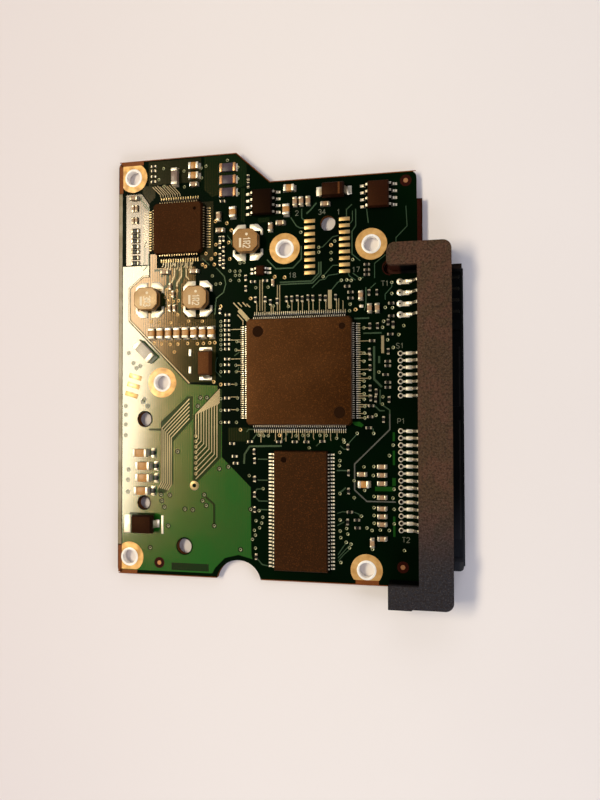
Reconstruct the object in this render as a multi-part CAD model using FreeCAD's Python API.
import FreeCAD, Part
import math
import os

# Circuit board of a 3.5 inch hard disk drive, component side up, in millimetres.
# The origin is on the axis of the lower left screw hole, at the underside of the laminate.
# +X points out of the connector, +Y along the connector, +Z out of the component side.

# Laminate outline
board_thickness = 1.2
board_left = -2.5
board_lower = -3.3
board_upper = 77.5
board_right = 56.5
cut_corner_start = 21.7
cut_corner_end = 28.3
cut_corner_depth = 6.0
right_step_depth = 1.0
right_step_y = 66.4
corner_radius = 1.2

# Half-round notch in the lower edge
notch_x = 22.1
notch_radius = 4.4
notch_centre_drop = 0.9

# Screw holes with plated rings, counted from the origin hole
screw_hole_radius = 1.4
screw_holes = [(0, 0), (0.6, 74.2), (6.7, 33.8), (31.1, 58.6), (47.3, 58.6), (46.2, -0.6)]
ring_radius = 2.9
ring_hole_margin = 0.05
ring_sides = 14
ring_thickness = 0.08
ring_edge_margin = 0.6

# Plain holes for the drive's pegs and bosses: place and radius
plain_holes = [(3.1, 26.7, 1.35), (3.0, 10.5, 1.2), (11.3, 2.4, 1.45), (39.3, 62.9, 1.4)]

# Gold contact pads
pad_thickness = 0.06
head_pad_length = 2.0
head_pad_width = 0.66
head_pad_pitch = 1.206
head_pad_count = 9
head_pad_columns = [35.9, 42.4]
head_pad_first_y = 63.5
motor_pad_length = 2.7
motor_pad_width = 0.9
motor_pad_turn = -17
motor_pads = [(1.1, 35.0), (0.7, 33.3), (0.3, 31.5)]

# Moulded packages: shared details
package_standoff = 0.1
package_draft = 0.2
package_corner_cut = 0.5

# Controller, quad flat
controller_place = (33.9, 35.5)
controller_body = 20.0
controller_height = 1.4
controller_lead_reach = 1.0
controller_leads_a_side = 44
controller_pitch = 0.4
controller_lead_width = 0.18
controller_lead_thickness = 0.13
controller_foot = 0.5

# Memory, leads on its two long sides
memory_gap = 3.6
memory_x = 34.2
memory_width = 10.16
memory_length = 22.22
memory_height = 1.0
memory_lead_reach = 0.8
memory_leads_a_side = 33
memory_pitch = 0.65
memory_lead_width = 0.3
memory_lead_thickness = 0.13
memory_foot = 0.45

# Motor driver, quad flat
driver_place = (10.25, 63.45)
driver_body = 10.0
driver_height = 1.4
driver_lead_reach = 1.0
driver_leads_a_side = 16
driver_pitch = 0.5
driver_lead_width = 0.22
driver_lead_thickness = 0.13
driver_foot = 0.5

# Eight-lead small-outline packages
regulator_place = (27.0, 67.4)
flash_place = (48.7, 67.4)
outline_body_width = 3.9
outline_body_length = 4.9
outline_body_height = 1.5
outline_lead_reach = 1.05
outline_leads_a_side = 4
outline_pitch = 1.27
outline_lead_width = 0.42
outline_lead_thickness = 0.2
outline_foot = 0.6

# Small four-lead package above the controller
four_lead_place = (26.5, 54.6)
four_lead_body_width = 1.7
four_lead_body_length = 1.9
four_lead_body_height = 0.9
four_lead_reach = 0.8
four_lead_leads_a_side = 2
four_lead_pitch = 0.78
four_lead_width = 0.36
four_lead_thickness = 0.15
four_lead_foot = 0.4

# Power inductors
inductors = [(24.0, 60.1), (4.1, 49.9), (14.0, 49.8)]
core_width = 4.9
core_depth = 4.4
core_height = 1.9
core_corner_cut = 1.1
core_flange = 0.6
core_waist_inset = 0.6
terminal_side_margin = 0.5
terminal_end_margin = 1.25
terminal_thickness = 0.2
terminal_gap = 0.8
terminal_arm_width = 1.35
terminal_leg_width = 0.5
terminal_leg_length = 0.8
terminal_corner_cut = 1.0

# Moulded diodes: place, turn, body length and body width
diodes = {
    "upper_diode": (40.5, 68.6, 0, 4.2, 2.7),
    "middle_diode": (15.9, 37.3, 90, 4.6, 2.6),
    "lower_diode": (3.3, 6.6, 0, 4.3, 3.6),
}
diode_height = 2.1
diode_lead_width = 1.5
diode_lead_thickness = 0.2
diode_lead_reach = 0.75
diode_draft = 0.25

# Chip components: length, width, height, and length of each metal end
row_capacitor = (2.0, 1.25, 1.0, 0.5)
bulk_capacitor = (2.9, 1.5, 1.2, 0.55)
sense_resistor = (3.2, 1.6, 0.6, 0.55)
tilted_capacitor = (4.5, 2.0, 1.4, 0.9)
medium_capacitor = (2.0, 1.25, 0.9, 0.5)
tall_capacitor = (3.2, 1.25, 1.2, 0.6)
small_capacitor = (1.6, 0.8, 0.8)
small_resistor = (1.6, 0.8, 0.45)
tiny_capacitor = (1.2, 0.5, 0.5)
tiny_resistor = (1.0, 0.45, 0.35)
end_wrap = 0.03

# Chip places: x, y and turn in degrees
row_capacitor_first = (4.75, 43.3)
row_capacitor_pitch = 1.73
row_capacitor_count = 8
bulk_capacitors = [(2.5, 20.2, 0), (3.1, 17.7, 0), (3.1, 15.4, 0), (2.8, 12.9, 0)]
sense_resistors = [(20.1, 74.7, 0), (20.1, 72.35, 0), (20.1, 69.95, 0)]
tilted_capacitors = [(3.3, 39.9, -45)]
tall_capacitors = [(9.5, 73.6, 90)]
medium_capacitors = [
    (13.3, 75.5, 0), (13.3, 73.6, 0), (21.1, 66.0, 90),
    (32.1, 69.8, 0), (31.5, 65.8, 90), (45.8, 14.9, 0),
]
small_capacitors = [
    (13.3, 71.9, 0), (18.3, 65.4, 90), (18.6, 62.7, 0), (33.2, 67.2, 90), (34.4, 67.2, 90),
    (35.7, 67.2, 90), (38.9, 66.4, 0), (28.5, 62.7, 90), (30.4, 63.4, 0),
    (45.5, 16.7, 0), (47.3, 4.4, 90), (45.4, 49.2, 90), (47.0, 46.8, 90), (48.4, 46.8, 90),
    (0.9, 70.1, 0), (7.4, 55.2, 0), (13.4, 55.1, 0),
]
capacitor_column_x = 49.1
capacitor_column_rows = [18.1, 16.6, 15.1, 12.6, 10.6, 9.2, 7.8, 5.2]
edge_resistors = [(5.0, 20.2, 90), (5.6, 17.7, 90), (5.6, 15.4, 90), (5.0, 12.9, 90)]
edge_ladder_x = 1.1
edge_ladder_rows = [63.7, 62.7, 61.7, 60.6, 59.6, 58.4, 57.3]
tiny_capacitors = [
    (0.65, 68.1), (1.35, 68.1), (0.65, 65.7), (1.35, 65.7),
    (8.4, 52.4), (9.0, 50.9), (8.3, 48.2), (9.3, 48.2), (28.9, 52.3),
]

# Smallest resistors, counted from the controller's centre: the column left of it, then the others
tiny_column_x = -14.0
tiny_column_rows = [9.9, 9.0, 8.1, 7.2, 6.3, 5.4, 4.5, 2.6, 1.5, 0.2, -2.2, -4.8, -7.1, -9.4]
tiny_resistors_across = [
    (-13.9, 11.0), (-14.9, 32.8), (-29.0, 40.6), (-29.0, 39.7), (-29.0, 38.6), (-29.0, 37.6),
    (12.6, 19.35), (12.6, 18.35), (12.6, 17.5), (9.0, 15.5), (9.6, 14.4), (9.6, 13.3),
    (13.5, 5.4), (16.8, 6.5), (16.3, 1.6), (16.3, 0.8), (15.9, -0.8), (16.3, -2.2), (16.3, -3.1),
    (13.3, -6.4), (13.1, -8.4), (-9.5, -13.0), (-3.9, -13.0), (-0.9, -13.0), (1.3, -13.0),
    (4.3, -12.9), (9.3, -25.7), (10.6, -27.1), (10.7, -28.5), (12.8, -10.4),
    (17.0, 12.1), (17.0, 9.8), (-6.5, 17.2), (-8.9, 17.1), (-12.5, -15.8), (-12.3, -17.1),
    (-13.0, -13.4),
]
tiny_resistors_upright = [
    (-8.4, 13.7), (-6.5, 13.7), (-5.5, 13.1), (-4.2, 13.3), (-2.4, 13.6), (-1.4, 13.6), (-0.35, 13.7),
    (0.6, 13.5), (1.65, 13.7), (2.6, 13.6), (3.95, 13.6), (4.95, 13.5), (6.85, 13.6),
    (-15.4, 25.6), (-15.4, 24.3), (-15.4, 22.3), (-15.4, 21.0), (-14.7, 25.6), (-14.7, 23.6),
    (-14.7, 21.9), (-14.7, 20.4), (-8.7, -14.9), (-8.6, -16.6), (-8.6, -20.0), (-8.6, -22.9),
    (-8.6, -25.7), (-8.3, -34.5), (9.0, -13.9), (9.1, -18.6), (9.1, -21.9), (8.9, -27.5),
    (13.0, 14.2), (13.1, 8.1), (13.0, 3.5), (13.1, 2.4), (13.1, 0.5),
    (14.4, 14.2), (14.5, 8.1), (14.2, -3.9), (14.1, -5.2), (13.1, -3.2),
    (13.2, -5.0), (16.4, 3.4), (15.5, -8.9), (16.5, -5.3), (16.4, 8.7), (17.3, 8.3), (-15.4, 11.8),
    (-10.3, 17.9), (-10.3, 15.9), (-9.8, 37.0), (-9.8, 35.6),
]

# Connector housing
housing_top = 5.8
housing_drop = 0.2
housing_overlap = 0.85
housing_depth = 5.85
housing_clearance = 0.1
housing_corner_radius = 1.5
arm_length = 5.3
arm_width = 3.9
lower_arm_overhang = 2.7
arm_foot_length = 4.0
arm_foot_depth = 0.2

# Slot in the laminate for the upper arm's rib
slot_y = 54.15
slot_width = 2.5
slot_reach = 0.9
slot_cover = 2.15
rib_inset = 0.6
flap_top = 0.15

# Contacts and the tongues that carry them
first_signal_y = 38.5
contact_pitch = 1.27
signal_count = 7
power_count = 15
power_start_steps = 11
contact_width = 0.5
contact_thickness = 0.15
contact_bend = 0.3
contact_reach = 2.0
contact_foot = 0.9
tongue_underside = 2.2
tongue_thickness = 1.2
tongue_length = 5.0
tongue_tip_chamfer = 0.3
tongue_outer_margin = 0.82
tongue_inner_margin = 1.97
key_width = 1.1
key_height = 1.0
blade_tip_gap = 0.4

# Jumper pins
first_jumper_y = 51.5
jumper_pitch = 2.0
jumper_count = 4
jumper_width = 0.5
jumper_underside = 2.5
jumper_tip = 1.3
jumper_pocket_margin = 1.2

# Recesses and apron on the mating side
recess_depth = 3.6
roof_thickness = 0.9
apron_thickness = 0.6
apron_reach = 2.05
apron_chamfer = 0.35
pocket_upper_margin = 3.15
pocket_lower_margin = 3.7
guide_wall = 1.6
upper_guide_wall = 0.85
guide_height = 4.3
guide_corner_radius = 0.7

# Derived levels and places
surface = board_thickness
notch_y = board_lower - notch_centre_drop
memory_place = (
    memory_x,
    controller_place[1] - controller_body / 2 - controller_lead_reach - memory_gap - memory_length / 2,
)
bar_back = board_right - housing_overlap
bar_front = bar_back + housing_depth
arm_tip = bar_back - arm_length
housing_upper = slot_y + slot_width / 2 + slot_cover
upper_arm_lower = housing_upper - arm_width
housing_lower = board_lower - lower_arm_overhang
lower_arm_upper = housing_lower + arm_width
recess_back = bar_front - recess_depth
apron_front = bar_front + apron_reach
apron_top = apron_thickness - housing_drop
last_signal_y = first_signal_y - (signal_count - 1) * contact_pitch
first_power_y = first_signal_y - power_start_steps * contact_pitch
last_power_y = first_power_y - (power_count - 1) * contact_pitch
last_jumper_y = first_jumper_y - (jumper_count - 1) * jumper_pitch
pocket_upper = first_signal_y + tongue_outer_margin + pocket_upper_margin
pocket_lower = last_power_y - tongue_outer_margin - pocket_lower_margin
jumper_pocket_upper = first_jumper_y + jumper_pocket_margin
jumper_pocket_lower = last_jumper_y - jumper_pocket_margin
apron_upper = jumper_pocket_upper + upper_guide_wall
apron_lower = pocket_lower - guide_wall

UP = FreeCAD.Vector(0, 0, 1)
ORIGIN = FreeCAD.Vector(0, 0, 0)


def block(x0, x1, y0, y1, z0, z1):
    """A box between opposite corners."""
    return Part.makeBox(x1 - x0, y1 - y0, z1 - z0, FreeCAD.Vector(x0, y0, z0))


def prism(corners, z0, z1):
    """An upright prism on a polygon of (x, y) corners."""
    points = [FreeCAD.Vector(x, y, z0) for x, y in corners]
    face = Part.Face(Part.makePolygon(points + points[:1]))
    return face.extrude(UP * (z1 - z0))


def cut_rectangle(width, length, cut):
    """The corners of a centred rectangle, each cut off by the same amount, or whole if that is 0."""
    x, y = width / 2, length / 2
    if cut == 0:
        return [(x, y), (-x, y), (-x, -y), (x, -y)]
    return [
        (x, y - cut), (x - cut, y), (cut - x, y), (-x, y - cut),
        (-x, cut - y), (cut - x, -y), (x - cut, -y), (x, cut - y),
    ]


def side_prism(profile, width):
    """A prism on an (x, z) profile, centred on y = 0."""
    points = [FreeCAD.Vector(x, -width / 2, z) for x, z in profile]
    face = Part.Face(Part.makePolygon(points + points[:1]))
    return face.extrude(FreeCAD.Vector(0, width, 0))


def rounded_plate(corners, z0, z1):
    """An upright plate on (x, y, radius) corners, each rounded by its own radius."""
    edges = []
    starts, ends = [], []
    points = [FreeCAD.Vector(x, y, z0) for x, y, _ in corners]
    for i, (_, _, radius) in enumerate(corners):
        corner = points[i]
        back = (points[i - 1] - corner).normalize()
        ahead = (points[(i + 1) % len(points)] - corner).normalize()
        if radius == 0:
            starts.append(corner)
            ends.append(corner)
            continue
        half = back.getAngle(ahead) / 2
        run = radius / math.tan(half)
        inward = (back + ahead).normalize()
        middle = corner + inward * (radius / math.sin(half) - radius)
        starts.append(corner + back * run)
        ends.append(corner + ahead * run)
        edges.append(Part.Arc(starts[-1], middle, ends[-1]).toShape())
    for i in range(len(points)):
        following = starts[(i + 1) % len(points)]
        edges.append(Part.LineSegment(ends[i], following).toShape())
    outline = Part.Wire(Part.__sortEdges__(edges))
    return Part.Face(outline).extrude(UP * (z1 - z0))


def upright(x, y, radius, z0, z1):
    """An upright cylinder."""
    return Part.makeCylinder(radius, z1 - z0, FreeCAD.Vector(x, y, z0))


def placed(shape, x, y, turn=0, z=0):
    """A copy of a shape, turned about its own upright axis and moved to its place."""
    copy = shape.copy()
    copy.rotate(ORIGIN, UP, turn)
    copy.translate(FreeCAD.Vector(x, y, z))
    return copy


def export(name, solids):
    """Write one node: a single solid, or a group of separate ones."""
    shape = solids[0] if len(solids) == 1 else Part.makeCompound(solids)
    shape.exportStep("parts/" + name + ".step")


# Laminate
def laminate():
    """The bare board: outline, notch, slot for the connector's rib, and holes."""
    upper_right = board_upper - cut_corner_depth
    step_x = board_right - right_step_depth
    outline = [
        (board_left, board_lower, corner_radius),
        (board_right, board_lower, 0),
        (board_right, right_step_y, 0),
        (step_x, right_step_y, 0),
        (step_x, upper_right, corner_radius),
        (cut_corner_end, upper_right, 0),
        (cut_corner_start, board_upper, corner_radius),
        (board_left, board_upper, corner_radius),
    ]
    board = rounded_plate(outline, 0, surface)
    slot_end = arm_tip - slot_reach + slot_width / 2
    cuts = [
        upright(notch_x, notch_y, notch_radius, 0, surface),
        upright(slot_end, slot_y, slot_width / 2, 0, surface),
        block(slot_end, board_right, slot_y - slot_width / 2, slot_y + slot_width / 2, 0, surface),
    ]
    cuts += [upright(x, y, screw_hole_radius, 0, surface) for x, y in screw_holes]
    cuts += [upright(x, y, radius, 0, surface) for x, y, radius in plain_holes]
    return board.cut(cuts)


def screw_rings():
    """A plated ring on the component side of each screw hole, kept back from the board's edges."""
    def land(radius):
        reach = radius / math.cos(math.pi / ring_sides)
        turns = [2 * math.pi * i / ring_sides for i in range(ring_sides)]
        corners = [(reach * math.cos(turn), reach * math.sin(turn)) for turn in turns]
        return prism(corners, 0, ring_thickness)

    top = surface + ring_thickness
    inside = block(
        board_left + ring_edge_margin, board_right, board_lower + ring_edge_margin,
        board_upper - ring_edge_margin, surface, top,
    )
    rings = []
    for x, y in screw_holes:
        ring = land(ring_radius).cut(land(screw_hole_radius + ring_hole_margin))
        rings += placed(ring, x, y, 0, surface).common(inside).Solids
    return rings


def contact_pads():
    """The head contact pads in two columns, and the tilted motor contact pads."""
    def pad(length, width):
        return block(-length / 2, length / 2, -width / 2, width / 2, 0, pad_thickness)

    head_pad = pad(head_pad_length, head_pad_width)
    motor_pad = pad(motor_pad_length, motor_pad_width)
    head = [
        placed(head_pad, x, head_pad_first_y - row * head_pad_pitch, 0, surface)
        for x in head_pad_columns
        for row in range(head_pad_count)
    ]
    motor = [placed(motor_pad, x, y, motor_pad_turn, surface) for x, y in motor_pads]
    return head, motor


# Moulded packages
def moulded_body(width, length, height, draft, corner_cut, standoff):
    """A moulded body: widest at the lead plane, drafted above and below, corners cut if asked."""
    def ring(inset, z):
        corners = cut_rectangle(width - 2 * inset, length - 2 * inset, corner_cut)
        points = [FreeCAD.Vector(x, y, z) for x, y in corners]
        return Part.makePolygon(points + points[:1])

    levels = [(draft, standoff), (0, standoff + height / 2), (draft, standoff + height)]
    return Part.makeLoft([ring(inset, z) for inset, z in levels], True, True)


def gull_lead(reach, exit_height, foot, width, thickness):
    """One lead: it leaves the body at its widest plane and drops to a foot that thins to its toe."""
    half = thickness / 2
    heel = reach - foot
    profile = [
        (0, exit_height - half), (0, exit_height + half), (heel + thickness, thickness),
        (reach, 0), (heel, 0),
    ]
    return side_prism(profile, width)


def lead_rows(lead, start, count, pitch, turns):
    """Rows of one lead on the sides of a package that the turns name."""
    leads = []
    for turn in turns:
        for i in range(count):
            offset = (i - (count - 1) / 2) * pitch
            leads.append(placed(placed(lead, start, offset), 0, 0, turn))
    return leads


def package(place, body, leads):
    """A package's body and leads, moved to its place on the board."""
    x, y = place
    return placed(body, x, y, 0, surface), [placed(lead, x, y, 0, surface) for lead in leads]


def quad_package(place, size, height, reach, count, pitch, width, thickness, foot):
    """A square package with leads on all four sides."""
    body = moulded_body(size, size, height, package_draft, package_corner_cut, package_standoff)
    lead = gull_lead(reach, package_standoff + height / 2, foot, width, thickness)
    leads = lead_rows(lead, size / 2, count, pitch, (0, 90, 180, 270))
    return package(place, body, leads)


def two_row_package(place, body_width, body_length, height, reach, count, pitch, width, thickness, foot):
    """A package with leads on its two long sides."""
    body = moulded_body(body_width, body_length, height, package_draft, 0, package_standoff)
    lead = gull_lead(reach, package_standoff + height / 2, foot, width, thickness)
    leads = lead_rows(lead, body_width / 2, count, pitch, (0, 180))
    return package(place, body, leads)


def outline_package(place):
    """An eight-lead small-outline package."""
    return two_row_package(
        place, outline_body_width, outline_body_length, outline_body_height, outline_lead_reach,
        outline_leads_a_side, outline_pitch, outline_lead_width, outline_lead_thickness, outline_foot,
    )


# Inductors
def inductor_core():
    """A ferrite drum: two flanges with cut corners and a narrower waist for the winding."""
    def slab(inset, z0, z1):
        corners = cut_rectangle(core_width - 2 * inset, core_depth - 2 * inset, core_corner_cut)
        return prism(corners, z0, z1)

    bottom = terminal_thickness
    top = bottom + core_height
    lower = slab(0, bottom, bottom + core_flange)
    waist = slab(core_waist_inset, bottom + core_flange, top - core_flange)
    upper = slab(0, top - core_flange, top)
    return lower.fuse([waist, upper]).removeSplitter()


def inductor_terminals():
    """Four L-shaped plates under the corners of the core, each with its outer corner cut."""
    x = core_width / 2 + terminal_side_margin
    y = core_depth / 2 + terminal_end_margin
    inner_x = terminal_gap / 2
    arm_y = y - terminal_arm_width
    leg_y = arm_y - terminal_leg_length
    leg_x = x - terminal_leg_width
    cut = terminal_corner_cut
    plates = []
    for sx in (1, -1):
        for sy in (1, -1):
            corners = [
                (inner_x, arm_y), (inner_x, y), (x - cut, y), (x, y - cut), (x, leg_y),
                (leg_x, leg_y), (leg_x, arm_y),
            ]
            plates.append(prism([(sx * px, sy * py) for px, py in corners], 0, terminal_thickness))
    return plates


# Moulded diodes
def diode(body_length, body_width):
    """A moulded two-terminal body with a flat terminal bent down at each end."""
    body = moulded_body(
        body_length, body_width, diode_height, diode_draft, 0, diode_lead_thickness
    )
    lead = gull_lead(
        diode_lead_reach, diode_lead_thickness + diode_height / 2,
        diode_lead_reach - diode_lead_thickness, diode_lead_width, diode_lead_thickness,
    )
    return body, lead_rows(lead, body_length / 2, 1, 0, (0, 180))


# Chip components
def chips(size, places):
    """Ceramic bodies and their metal ends, each end wrapped just proud of the body."""
    length, width, height, end = size
    half = length / 2
    body = block(
        end - half, half - end, end_wrap - width / 2, width / 2 - end_wrap,
        end_wrap, height - end_wrap,
    )
    caps = [
        block(-half, end - half, -width / 2, width / 2, 0, height),
        block(half - end, half, -width / 2, width / 2, 0, height),
    ]
    bodies = [placed(body, x, y, turn, surface) for x, y, turn in places]
    ends = [placed(cap, x, y, turn, surface) for x, y, turn in places for cap in caps]
    return bodies, ends


def plain_chips(size, places):
    """Small chips, one solid each."""
    length, width, height = size
    chip = block(-length / 2, length / 2, -width / 2, width / 2, 0, height)
    return [placed(chip, x, y, turn, surface) for x, y, turn in places]


# Connector
def contact(underside, thickness, width, tip):
    """One contact: a straight blade from its tip, a bend behind the housing and a flat foot."""
    top = underside + thickness
    bend = bar_back - contact_bend
    toe = bar_back - contact_reach
    heel = toe + contact_foot
    profile = [
        (tip, underside), (tip, top), (bend, top), (heel, surface + thickness),
        (toe, surface + thickness), (toe, surface), (heel, surface), (bend, underside),
    ]
    return side_prism(profile, width)


def contacts():
    """Signal contacts, power contacts and jumper pins, each row at its own pitch."""
    blade = contact(
        tongue_underside - contact_thickness, contact_thickness, contact_width,
        recess_back + tongue_length - blade_tip_gap,
    )
    pin = contact(jumper_underside, jumper_width, jumper_width, bar_front + jumper_tip)
    signal = [placed(blade, 0, first_signal_y - i * contact_pitch) for i in range(signal_count)]
    power = [placed(blade, 0, first_power_y - i * contact_pitch) for i in range(power_count)]
    jumper = [placed(pin, 0, first_jumper_y - i * jumper_pitch) for i in range(jumper_count)]
    return signal, power, jumper


def tongue(upper, lower, key_at_upper):
    """A mating tongue with a chamfered tip, and its key at the end next to the other tongue."""
    front = recess_back + tongue_length
    top = tongue_underside + tongue_thickness
    tip = tongue_tip_chamfer
    profile = [
        (recess_back, tongue_underside), (front - tip, tongue_underside),
        (front, tongue_underside + tip), (front, top - tip), (front - tip, top), (recess_back, top),
    ]
    blade = placed(side_prism(profile, upper - lower), 0, (upper + lower) / 2)
    key_lower = upper - key_width if key_at_upper else lower
    key = block(
        recess_back, front - tip, key_lower, key_lower + key_width,
        tongue_underside - key_height, tongue_underside,
    )
    return blade.fuse(key)


def housing_shell():
    """The bar and its two arms: the part above the board hooks over it, the part below stays beside it."""
    above = rounded_plate(
        [
            (arm_tip, housing_lower, 0),
            (bar_front, housing_lower, housing_corner_radius),
            (bar_front, housing_upper, housing_corner_radius),
            (arm_tip, housing_upper, housing_corner_radius),
            (arm_tip, upper_arm_lower, housing_corner_radius / 2),
            (bar_back, upper_arm_lower, 0),
            (bar_back, lower_arm_upper, 0),
            (arm_tip, lower_arm_upper, 0),
        ],
        surface, housing_top,
    )
    beside = rounded_plate(
        [
            (arm_tip, housing_lower, 0),
            (bar_front, housing_lower, housing_corner_radius),
            (bar_front, housing_upper, housing_corner_radius),
            (board_right + housing_clearance, housing_upper, 0),
            (board_right + housing_clearance, board_lower - housing_clearance, 0),
            (arm_tip, board_lower - housing_clearance, 0),
        ],
        -housing_drop, surface,
    )
    rib = block(
        arm_tip + rib_inset, bar_front - recess_depth, upper_arm_lower,
        slot_y + slot_width / 2 - housing_clearance, -housing_drop, surface,
    )
    flap = block(
        arm_tip + rib_inset, board_right + housing_clearance,
        slot_y - slot_width / 2 + housing_clearance, upper_arm_lower, -housing_drop, flap_top,
    )
    slot_end = arm_tip - slot_reach + slot_width / 2
    toe = upright(slot_end, slot_y, slot_width / 2 - housing_clearance, -housing_drop, flap_top)
    foot = prism(
        [
            (arm_tip, housing_lower), (arm_tip, housing_lower - arm_foot_depth),
            (arm_tip + arm_foot_length, housing_lower - arm_foot_depth),
            (arm_tip + arm_foot_length + arm_foot_depth, housing_lower),
        ],
        -housing_drop, housing_top,
    )
    return above.fuse([beside, rib, flap, toe, foot])


def apron():
    """The lower wall under the tongues, with a lead-in along its front edge and guide walls."""
    top = apron_top
    profile = [
        (bar_front, -housing_drop), (apron_front, -housing_drop), (apron_front, top - apron_chamfer),
        (apron_front - apron_chamfer, top), (bar_front, top),
    ]
    wall = placed(side_prism(profile, apron_upper - apron_lower), 0, (apron_upper + apron_lower) / 2)
    guide_front = apron_front - apron_chamfer
    lower_guide = rounded_plate(
        [
            (bar_front, apron_lower, 0), (guide_front, apron_lower, guide_corner_radius),
            (guide_front, pocket_lower, 0), (bar_front, pocket_lower, 0),
        ],
        top, guide_height,
    )
    upper_guide = block(bar_front, guide_front, jumper_pocket_upper, apron_upper, top, guide_height)
    partition = block(bar_front, guide_front, pocket_upper, jumper_pocket_lower, top, tongue_underside)
    return [wall, lower_guide, upper_guide, partition]


def recesses():
    """The spaces round the tongues and round the jumper pins, open towards the mating side."""
    roof = housing_top - roof_thickness
    spans = [
        (pocket_lower, pocket_upper),
        (jumper_pocket_lower, jumper_pocket_upper),
    ]
    return [block(recess_back, bar_front, y0, y1, apron_top, roof) for y0, y1 in spans]


def connector_housing(metal):
    """The moulded housing, with a tight way through its back wall for each contact."""
    housing = housing_shell().fuse(apron()).cut(recesses())
    signal_tongue = tongue(
        first_signal_y + tongue_outer_margin, last_signal_y - tongue_inner_margin, False
    )
    power_tongue = tongue(
        first_power_y + tongue_inner_margin, last_power_y - tongue_outer_margin, True
    )
    housing = housing.fuse([signal_tongue, power_tongue])
    return housing.removeSplitter().cut(metal).removeSplitter()


def main():
    """Build every piece and write its node."""
    os.makedirs("parts", exist_ok=True)
    export("circuit_board", [laminate()])
    export("screw_rings", screw_rings())
    head, motor = contact_pads()
    export("head_contact_pads", head)
    export("motor_contact_pads", motor)

    packages = {
        "controller": quad_package(
            controller_place, controller_body, controller_height, controller_lead_reach,
            controller_leads_a_side, controller_pitch, controller_lead_width,
            controller_lead_thickness, controller_foot,
        ),
        "memory": two_row_package(
            memory_place, memory_width, memory_length, memory_height, memory_lead_reach,
            memory_leads_a_side, memory_pitch, memory_lead_width, memory_lead_thickness, memory_foot,
        ),
        "motor_driver": quad_package(
            driver_place, driver_body, driver_height, driver_lead_reach, driver_leads_a_side,
            driver_pitch, driver_lead_width, driver_lead_thickness, driver_foot,
        ),
        "regulator": outline_package(regulator_place),
        "flash": outline_package(flash_place),
        "four_lead_chip": two_row_package(
            four_lead_place, four_lead_body_width, four_lead_body_length, four_lead_body_height,
            four_lead_reach, four_lead_leads_a_side, four_lead_pitch, four_lead_width,
            four_lead_thickness, four_lead_foot,
        ),
    }
    for name, (body, leads) in packages.items():
        export(name + "_body", [body])
        export(name + "_leads", leads)

    core, plates = inductor_core(), inductor_terminals()
    for number, (x, y) in enumerate(inductors, 1):
        export(f"inductor_{number}_core", [placed(core, x, y, 0, surface)])
        export(f"inductor_{number}_terminals", [placed(p, x, y, 0, surface) for p in plates])

    for name, (x, y, turn, length, width) in diodes.items():
        body, leads = diode(length, width)
        export(name + "_body", [placed(body, x, y, turn, surface)])
        export(name + "_terminals", [placed(lead, x, y, turn, surface) for lead in leads])

    row_x, row_y = row_capacitor_first
    row = [(row_x + i * row_capacitor_pitch, row_y, 90) for i in range(row_capacitor_count)]
    groups = {
        "row_capacitor": (row_capacitor, row),
        "bulk_capacitor": (bulk_capacitor, bulk_capacitors),
        "sense_resistor": (sense_resistor, sense_resistors),
        "tilted_capacitor": (tilted_capacitor, tilted_capacitors),
        "tall_capacitor": (tall_capacitor, tall_capacitors),
        "medium_capacitor": (medium_capacitor, medium_capacitors),
    }
    for name, (size, places) in groups.items():
        bodies, ends = chips(size, places)
        export(name + "_bodies", bodies)
        export(name + "_ends", ends)
    column = [(capacitor_column_x, y, 0) for y in capacitor_column_rows]
    export("small_capacitors", plain_chips(small_capacitor, small_capacitors + column))
    ladder = [(edge_ladder_x, y, 0) for y in edge_ladder_rows]
    export("small_resistors", plain_chips(small_resistor, edge_resistors + ladder))
    upright_pairs = [(x, y, 90) for x, y in tiny_capacitors]
    export("tiny_capacitors", plain_chips(tiny_capacitor, upright_pairs))
    centre_x, centre_y = controller_place
    across = [(tiny_column_x, y) for y in tiny_column_rows] + tiny_resistors_across
    tiny = [(centre_x + x, centre_y + y, 0) for x, y in across]
    tiny += [(centre_x + x, centre_y + y, 90) for x, y in tiny_resistors_upright]
    export("tiny_resistors", plain_chips(tiny_resistor, tiny))

    signal, power, jumper = contacts()
    export("connector_housing", [connector_housing(signal + power + jumper)])
    export("signal_contacts", signal)
    export("power_contacts", power)
    export("jumper_pins", jumper)


main()
